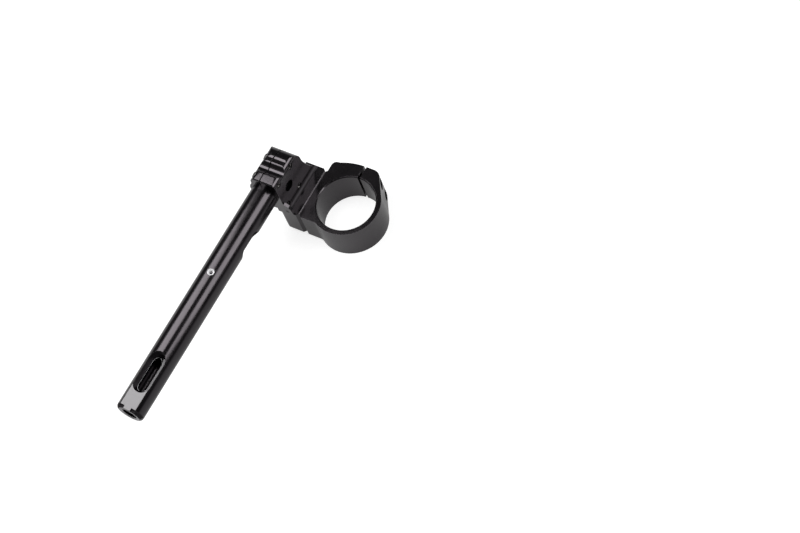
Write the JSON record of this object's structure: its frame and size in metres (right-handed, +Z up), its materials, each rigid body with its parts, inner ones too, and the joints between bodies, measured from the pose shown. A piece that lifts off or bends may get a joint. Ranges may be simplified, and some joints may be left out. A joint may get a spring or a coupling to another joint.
{
  "type": "clip-on handlebar",
  "caption": "Clip-on handlebar: a split ring for the fork tube, a bolted bar mount with a clamp cap, and a straight tubular bar with wire hole, window and end flat.",
  "frame": {"origin": "centre of the fork bore, halfway up the ring", "axes": "+Z up the fork tube, +X from the bar mount towards the fork, the bar runs along -Y to its open end"},
  "size_m": [0.1095, 0.2993, 0.077],
  "materials": {
    "anodised": "satin black anodised, machined",
    "dark_steel": "black oxide steel",
    "plain_steel": "ground steel"
  },
  "bodies": {
    "root": {"fork_clamp": "anodised", "bar_mount": "anodised", "bar_cap": "anodised", "bar": "anodised", "pinch_bolt_1": "dark_steel", "pinch_bolt_2": "dark_steel", "mount_bolt_1": "dark_steel", "mount_bolt_2": "dark_steel", "mount_washer_1": "dark_steel", "mount_washer_2": "dark_steel", "dowel_1": "plain_steel", "dowel_2": "plain_steel", "cap_bolt_1": "dark_steel", "cap_bolt_2": "dark_steel", "cap_bolt_3": "dark_steel", "cap_bolt_4": "dark_steel", "thread_insert_1": "plain_steel", "thread_insert_2": "plain_steel", "thread_insert_3": "plain_steel", "thread_insert_4": "plain_steel"}
  },
  "joints": []
}
